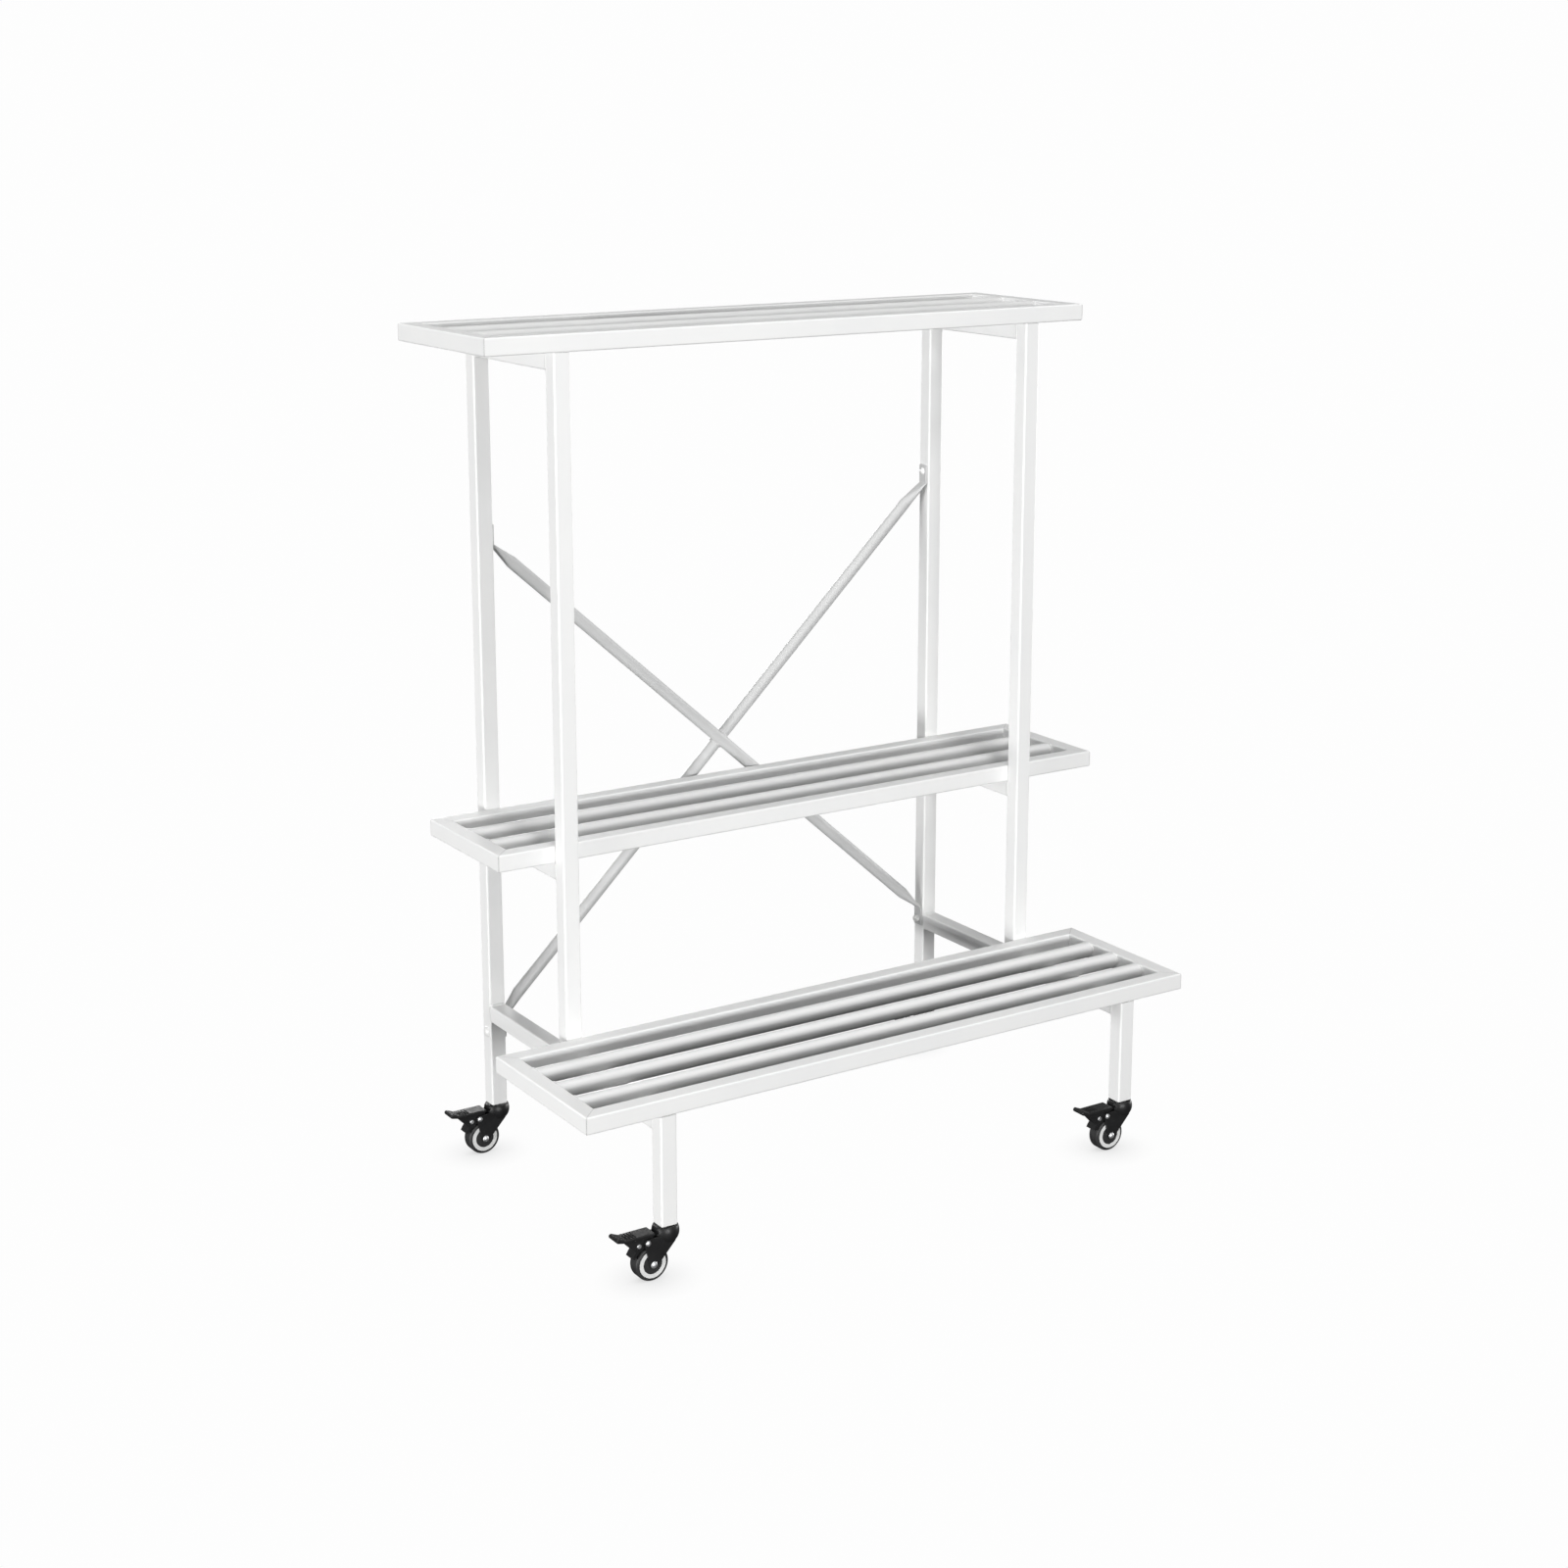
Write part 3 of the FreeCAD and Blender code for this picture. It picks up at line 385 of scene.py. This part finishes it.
low_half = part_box("brace_rising_rod_low")
high_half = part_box("brace_rising_rod_high")
crossing = Vector(((low_half[1].x + high_half[0].x) / 2, low_half[1].y - ROD_RADIUS,
                   (low_half[1].z + high_half[0].z) / 2))
rod_ring = model_ring("rod_weld", ROD_RADIUS)
lie = Matrix((ACROSS_FALLING_ROD, BACKWARD, ACROSS_FALLING_ROD.cross(BACKWARD))).transposed().to_4x4()
saddles = []
for reach in (-WELD_REACH, WELD_REACH):
    spot = crossing + RISING_WAY * (reach / RISING_WAY.dot(ACROSS_FALLING_ROD))
    saddles.append(copy_to(rod_ring, Matrix.Translation(spot) @ lie))
join_as("brace_cross_weld", saddles, rod_coat_painted_shade, "frame")


# Fixings: white coated dome bolts and screws that hold the brace, zinc plated screws under the shelves,
# and the moulded black plugs in the tube ends that carry spigots and caster stems.

BOLT_EDGE_GREY = (0.55, 0.55, 0.55, 1)
BLACK_EDGE_SHINE_AND_WEAR = (0.075, 0.075, 0.078, 1)
DUST_ON_BLACK = (0.2, 0.195, 0.185, 1)

bolt_coat, tree, shader = start_material("white_bolt_coat", (0.86, 0.86, 0.85, 1))
skin = place_group(tree, surface_grain,
                   {"Colour": (0.86, 0.86, 0.85, 1), "Drift Colour": (0.82, 0.82, 0.81, 1),
                    "Drift Scale": 60.0, "Grain Scale": 1400.0, "Roughness": 0.3, "Roughness Swing": 0.15})
# The bolt heads' sharp edges are painted greyer.
edge_wear_shade_shine = place_group(tree, edge_wear_shade_and_shine, {"Width": 0.0006, "Gain": 2.5})
bolt_colour = blend_colours(tree, edge_wear_shade_shine.outputs["Mask"], skin.outputs["Colour"], BOLT_EDGE_GREY)
finish_surface(tree, shader, bolt_colour, skin, strength=0.15, distance=0.0001)
coat(["brace_bolts"], bolt_coat)

zinc, tree, shader = start_material("zinc_plate", (0.7, 0.71, 0.72, 1))
skin = place_group(tree, surface_grain,
                   {"Colour": (0.84, 0.845, 0.85, 1), "Drift Colour": (0.72, 0.73, 0.74, 1),
                    "Drift Scale": 160.0, "Grain Scale": 2600.0, "Roughness": 0.48, "Roughness Swing": 0.2})
shader.inputs["Metallic"].default_value = 1.0
finish_surface(tree, shader, skin.outputs["Colour"], skin, strength=0.2, distance=0.00005)
coat(["shelf_screws", "caster_stems"], zinc)

black_plastic, tree, shader = start_material("moulded_black", (0.02, 0.02, 0.022, 1))
skin = place_group(tree, surface_grain,
                   {"Colour": (0.012, 0.012, 0.0125, 1), "Drift Colour": (0.018, 0.018, 0.0185, 1),
                    "Drift Scale": 55.0, "Grain Scale": 2400.0, "Roughness": 0.4, "Roughness Swing": 0.2})
# The plastic's sharp edges are painted lighter: painted shine along the edges, with some rubbed wear.
edge_wear_shade_shine = place_group(tree, edge_wear_shade_and_shine, {"Width": 0.0007, "Gain": 2.0})
dust = place_group(tree, settled_dust, {"Amount": 0.06, "Patch Scale": 130.0})
plastic_colour = blend_colours(tree, edge_wear_shade_shine.outputs["Mask"], skin.outputs["Colour"], BLACK_EDGE_SHINE_AND_WEAR)
plastic_colour = blend_colours(tree, dust.outputs["Mask"], plastic_colour, DUST_ON_BLACK)
shader.inputs["Specular IOR Level"].default_value = 0.32
finish_surface(tree, shader, plastic_colour, skin, strength=0.3, distance=0.00008)
coat(["post_spigots", "caster_sockets"], black_plastic)


# Casters: four swivel casters with a moulded black fork and hood on a zinc stem, a rubber wheel
# with a light ring on each side, and a foot pedal whose shoe stops the tread.
# The stem is pressed into the plug in the leg, and wheel and pedal turn on riveted zinc pins.

CORNERS = ("front_left", "front_right", "rear_left", "rear_right")

rubber, tree, shader = start_material("wheel_rubber", (0.02, 0.02, 0.02, 1))
skin = place_group(tree, surface_grain,
                   {"Colour": (0.016, 0.016, 0.017, 1), "Drift Colour": (0.03, 0.03, 0.03, 1),
                    "Drift Scale": 90.0, "Grain Scale": 1500.0, "Roughness": 0.55, "Roughness Swing": 0.25})
finish_surface(tree, shader, skin.outputs["Colour"], skin, strength=0.35, distance=0.0001)

ring_plastic, tree, shader = start_material("light_ring_plastic", (0.8, 0.8, 0.79, 1))
skin = place_group(tree, surface_grain,
                   {"Colour": (0.8, 0.8, 0.79, 1), "Drift Colour": (0.73, 0.735, 0.73, 1),
                    "Drift Scale": 80.0, "Grain Scale": 1800.0, "Roughness": 0.26, "Roughness Swing": 0.12})
finish_surface(tree, shader, skin.outputs["Colour"], skin, strength=0.12, distance=0.00006)

for corner in CORNERS:
    coat([corner + "_fork", corner + "_brake_pedal"], black_plastic)
    coat([corner + "_axle", corner + "_pedal_pin"], zinc)
    coat([corner + "_wheel"], rubber)
    coat([corner + "_wheel_rings"], ring_plastic)


# Pedal fittings: a zinc rivet head on each side of the pedal holds its brake shoe,
# and low ribs moulded across the pedal's black top keep a foot from slipping.
# Their places are measured from the pedal's pin.

RIVET_RADIUS = 0.0034
RIVET_RISE = 0.0016
RIVET_ROUND = 0.92
RIVET_DOME = 0.62
RIVET_SINK = 0.0001
RIVET_PLACE = Vector((-0.0115, 0, -0.003))
FACES_UP = 0.9
WEB_HALF = 0.009
RIB_LENGTH = 0.017
RIB_WIDTH = 0.0016
RIB_RISE = 0.0007
RIB_EDGE = 0.0005
RIB_FIRST = -0.0165
RIB_STEP = -0.0042
RIB_COUNT = 4
PLATE_RISE = 0.012
FITTING_CREASE = math.radians(40)

bpy.ops.mesh.primitive_cylinder_add(vertices=28, radius=RIVET_RADIUS, depth=RIVET_RISE)
rivet = bpy.context.active_object
rivet.name = "rivet"
bpy.ops.object.mode_set(mode="EDIT")
bpy.ops.mesh.select_all(action="DESELECT")
shape = bmesh.from_edit_mesh(rivet.data)
for face in shape.faces:
    face.select_set(face.normal.z > FACES_UP)
bmesh.update_edit_mesh(rivet.data)
bpy.ops.mesh.bevel(offset=RIVET_RISE * RIVET_ROUND, segments=5, profile=RIVET_DOME)
bpy.ops.object.mode_set(mode="OBJECT")
bpy.ops.object.shade_smooth_by_angle(angle=FITTING_CREASE)

bpy.ops.mesh.primitive_cube_add(size=1.0)
rib = bpy.context.active_object
rib.name = "rib"
rib.scale = (RIB_WIDTH, RIB_LENGTH, 2 * RIB_RISE)
bpy.ops.object.transform_apply(location=True, rotation=True, scale=True)
bpy.ops.object.mode_set(mode="EDIT")
bpy.ops.mesh.select_all(action="SELECT")
bpy.ops.mesh.bevel(offset=RIB_EDGE, segments=3)
bpy.ops.object.mode_set(mode="OBJECT")
bpy.ops.object.shade_smooth_by_angle(angle=FITTING_CREASE)
bpy.ops.object.select_all(action="DESELECT")

pins = {joint["child"]: Vector(joint["pos_m"]) for joint in frame["joints"]}
for corner in CORNERS:
    pin = pins[corner + "_brake"]
    heads = []
    for side in (-1, 1):
        seat = pin + RIVET_PLACE + Vector((0, side * (WEB_HALF + RIVET_RISE / 2 - RIVET_SINK), 0))
        heads.append(copy_to(rivet, Matrix.Translation(seat) @ Matrix.Rotation(-side * QUARTER_TURN, 4, "X")))
    join_as(corner + "_shoe_rivets", heads, zinc, corner + "_brake")
    ribs = []
    for index in range(RIB_COUNT):
        spot = pin + Vector((RIB_FIRST + index * RIB_STEP, 0, PLATE_RISE))
        ribs.append(copy_to(rib, Matrix.Translation(spot)))
    join_as(corner + "_pedal_ribs", ribs, black_plastic, corner + "_brake")

for pattern in (bead, ring, rod_ring, rivet, rib):
    bpy.data.objects.remove(pattern)


# Studio: pale seamless floor that runs out of sight, soft boxes overhead and on all four sides,
# and the camera at the photo's viewing angle. The boxes at the sides stand low and far off,
# so that the gaps between the shelf bars stay dark.

FLOOR_SIZE = 120.0
FLOOR_SHADE_REACH = 0.06
SHADED_PAPER = (0.62, 0.62, 0.62, 1)
PALE_PAPER = (0.985, 0.985, 0.985, 1)
DARK_BOUNCE = (0.06, 0.06, 0.06, 1)
AIR_COLOUR = (0.97, 0.985, 1, 1)
AMBIENT = 0.18
CAMERA_PLACE = (-2.0244, -3.028, 1.5725)
CAMERA_PITCH = 12.586
CAMERA_TURN = -32.986
CAMERA_SENSOR = 36.0
CAMERA_LENS = 58.56
CAMERA_SHIFT = -0.08
CAMERA_REACH = 300.0

bpy.ops.mesh.primitive_plane_add(size=FLOOR_SIZE, location=(0, 0, 0))
floor = bpy.context.active_object
floor.name = "studio_floor"
floor_finish = bpy.data.materials.new("pale_floor")
floor_finish.use_nodes = True
tree = floor_finish.node_tree
tree.nodes.clear()
# Painted contact shadow: the floor's glow is darkened where ambient occlusion finds the stand close by.
shade = add_node(tree, "ShaderNodeAmbientOcclusion", {"Distance": FLOOR_SHADE_REACH}, samples=8)
paper_with_painted_shadow = blend_colours(tree, shade.outputs["AO"], SHADED_PAPER, PALE_PAPER)
seen = add_node(tree, "ShaderNodeEmission", {"Color": paper_with_painted_shadow, "Strength": 1.0})
bounced = add_node(tree, "ShaderNodeBsdfDiffuse", {"Color": DARK_BOUNCE})
ray = add_node(tree, "ShaderNodeLightPath")
either = add_node(tree, "ShaderNodeMixShader",
                  {0: ray.outputs["Is Camera Ray"], 1: bounced.outputs[0], 2: seen.outputs[0]})
add_node(tree, "ShaderNodeOutputMaterial", {"Surface": either.outputs[0]})
floor_finish.cycles.emission_sampling = "NONE"
floor.data.materials.append(floor_finish)

world = bpy.data.worlds.new("studio_air")
bpy.context.scene.world = world
world.use_nodes = True
tree = world.node_tree
tree.nodes.clear()
ray = add_node(tree, "ShaderNodeLightPath")
air = add_node(tree, "ShaderNodeBackground", {"Color": AIR_COLOUR, "Strength": AMBIENT})
backdrop = add_node(tree, "ShaderNodeBackground", {"Color": PALE_PAPER, "Strength": 1.0})
either = add_node(tree, "ShaderNodeMixShader",
                  {0: ray.outputs["Is Camera Ray"], 1: air.outputs[0], 2: backdrop.outputs[0]})
add_node(tree, "ShaderNodeOutputWorld", {"Surface": either.outputs[0]})


def soft_box(name, place, aim, width, height, power):
    """Large soft light aimed at a point, unseen by the camera."""
    bpy.ops.object.light_add(type="AREA", location=place)
    light = bpy.context.active_object
    light.name = name
    light.data.shape = "RECTANGLE"
    light.data.size = width
    light.data.size_y = height
    light.data.energy = power
    light.rotation_euler = (Vector(aim) - Vector(place)).to_track_quat("-Z", "Y").to_euler()
    light.visible_camera = False


soft_box("overhead_box", place=(-0.2, -0.2, 8.0), aim=(0, 0, 0.5), width=5.4, height=4.6, power=290.0)
soft_box("key_box", place=(-0.4, -2.9, 3.6), aim=(0, 0, 0.5), width=0.7, height=0.7, power=30.0)
soft_box("front_box", place=(-1.7, -8.0, 1.3), aim=(0, 0, 0.5), width=4.2, height=1.5, power=450.0)
soft_box("side_box", place=(-9.0, -0.7, 0.22), aim=(0, 0, 0.3), width=4.6, height=0.34, power=620.0)
soft_box("back_box", place=(1.7, 8.0, 0.9), aim=(0, 0, 0.5), width=4.2, height=1.2, power=340.0)
soft_box("right_box", place=(9.0, 0.9, 0.5), aim=(0, 0, 0.4), width=4.6, height=0.8, power=440.0)

bpy.ops.object.camera_add(location=CAMERA_PLACE,
                          rotation=(math.radians(90 - CAMERA_PITCH), 0, math.radians(CAMERA_TURN)))
camera = bpy.context.active_object
camera.name = "photo_camera"
camera.data.sensor_width = CAMERA_SENSOR
camera.data.lens = CAMERA_LENS
camera.data.shift_y = CAMERA_SHIFT
camera.data.clip_end = CAMERA_REACH
bpy.context.scene.camera = camera
bpy.context.scene.view_settings.view_transform = "Standard"
